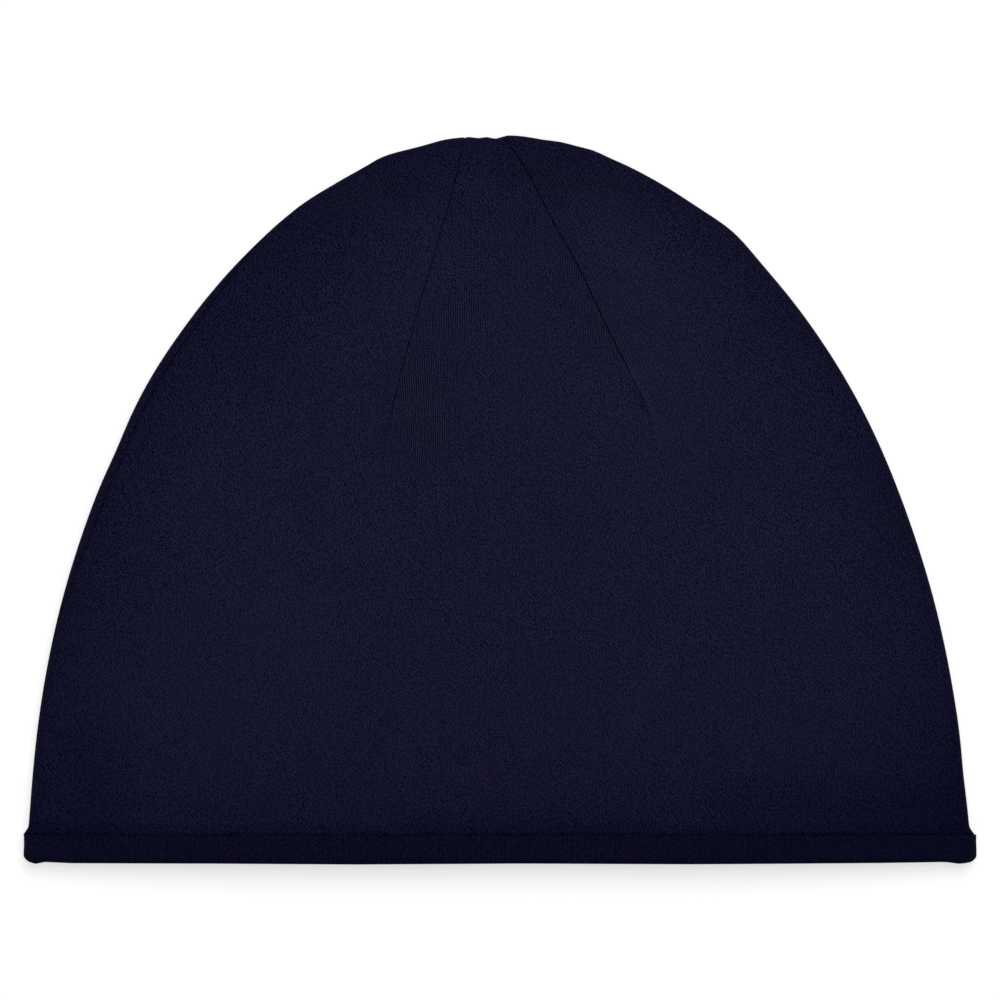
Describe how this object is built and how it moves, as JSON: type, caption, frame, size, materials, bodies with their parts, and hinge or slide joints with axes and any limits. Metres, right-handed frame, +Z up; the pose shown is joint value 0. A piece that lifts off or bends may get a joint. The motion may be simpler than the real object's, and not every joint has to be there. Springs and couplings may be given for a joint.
{
  "type": "jersey beanie",
  "caption": "Plain navy jersey beanie lying flat: front and back panel shaped by darts, sewn round the edge, with a narrow folded hem band round an open mouth.",
  "frame": {"origin": "on the surface that the cap lies on, under the middle of its length and width", "axes": "+X across the cap from fold to fold, +Y from the hem towards the crown, +Z up out of the surface; the mouth opens towards -Y"},
  "size_m": [0.2504, 0.1911, 0.0153],
  "materials": {
    "panel_jersey": "matt plain-knit jersey, dark navy",
    "hem_jersey": "matt plain-knit jersey, dark navy, folded strip"
  },
  "bodies": {
    "root": {"front_panel": "panel_jersey", "back_panel": "panel_jersey", "hem_band": "hem_jersey"}
  },
  "joints": []
}
